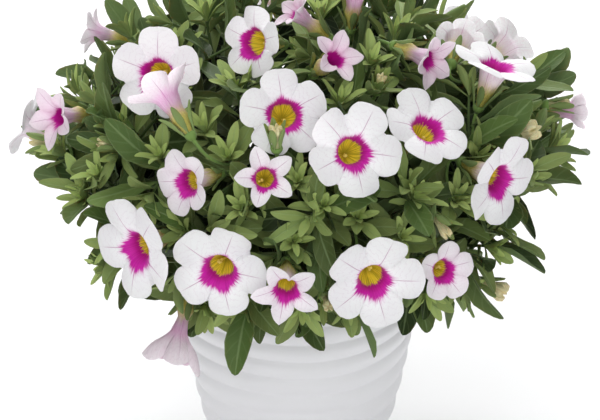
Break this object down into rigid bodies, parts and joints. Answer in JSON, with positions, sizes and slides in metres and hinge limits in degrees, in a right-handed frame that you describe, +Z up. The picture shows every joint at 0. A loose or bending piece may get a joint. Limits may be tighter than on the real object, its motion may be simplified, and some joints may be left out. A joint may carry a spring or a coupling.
{
  "type": "calibrachoa in pot",
  "caption": "Bushy calibrachoa in full bloom, its white trumpet flowers ringed magenta at the throat, growing in a white cover pot with wavy horizontal ribs.",
  "frame": {"origin": "centre of the pot's underside, on the surface it stands on", "axes": "+Z up, -Y towards the side the plant is seen from, +X to that viewer's right"},
  "size_m": [0.2354, 0.2481, 0.2209],
  "materials": {
    "pot": "matt white glaze",
    "soil": "crumbly moist potting soil",
    "leaf": "matt, finely downy green leaf and stem",
    "petal": "soft matt petal, white with a magenta ring and a yellow throat",
    "faded_petal": "dry or unopened petal, cream"
  },
  "bodies": {
    "root": {"pot": "pot", "soil": "soil", "bloom_01": "petal", "bloom_02": "petal", "bloom_03": "petal", "bloom_04": "petal", "bloom_05": "petal", "bloom_06": "petal", "bloom_07": "petal", "bloom_08": "petal", "bloom_09": "petal", "bloom_10": "petal", "bloom_11": "petal", "bloom_12": "petal", "bloom_13": "petal", "bloom_14": "petal", "bloom_15": "petal", "bloom_16": "petal", "bloom_17": "petal", "bloom_18": "petal", "bloom_19": "petal", "bloom_20": "petal", "bloom_21": "petal", "bloom_22": "petal", "bloom_23": "petal", "bloom_24": "petal", "bloom_25": "petal", "bloom_26": "petal", "bloom_27": "petal", "bloom_28": "petal", "bloom_29": "petal", "bloom_30": "petal", "bloom_31": "petal", "bloom_32": "petal", "bloom_33": "petal", "bloom_34": "petal", "faded_bloom_1": "faded_petal", "faded_bloom_2": "faded_petal", "bud_1": "faded_petal", "bud_2": "faded_petal", "bud_3": "faded_petal", "stem_left_low": "leaf", "stem_left_middle": "leaf", "stem_front_left": "leaf", "stem_front_centre": "leaf", "stem_front_low": "leaf", "stem_front_foot": "leaf", "stem_front_right": "leaf", "stem_right_middle": "leaf", "stem_right_foot": "leaf", "stem_left_foot": "leaf", "stem_top_right": "leaf", "stem_right_far": "leaf", "stem_top_left": "leaf", "stem_top_back": "leaf", "stem_back_right": "leaf", "stem_back": "leaf", "stem_back_left": "leaf"}
  },
  "joints": []
}
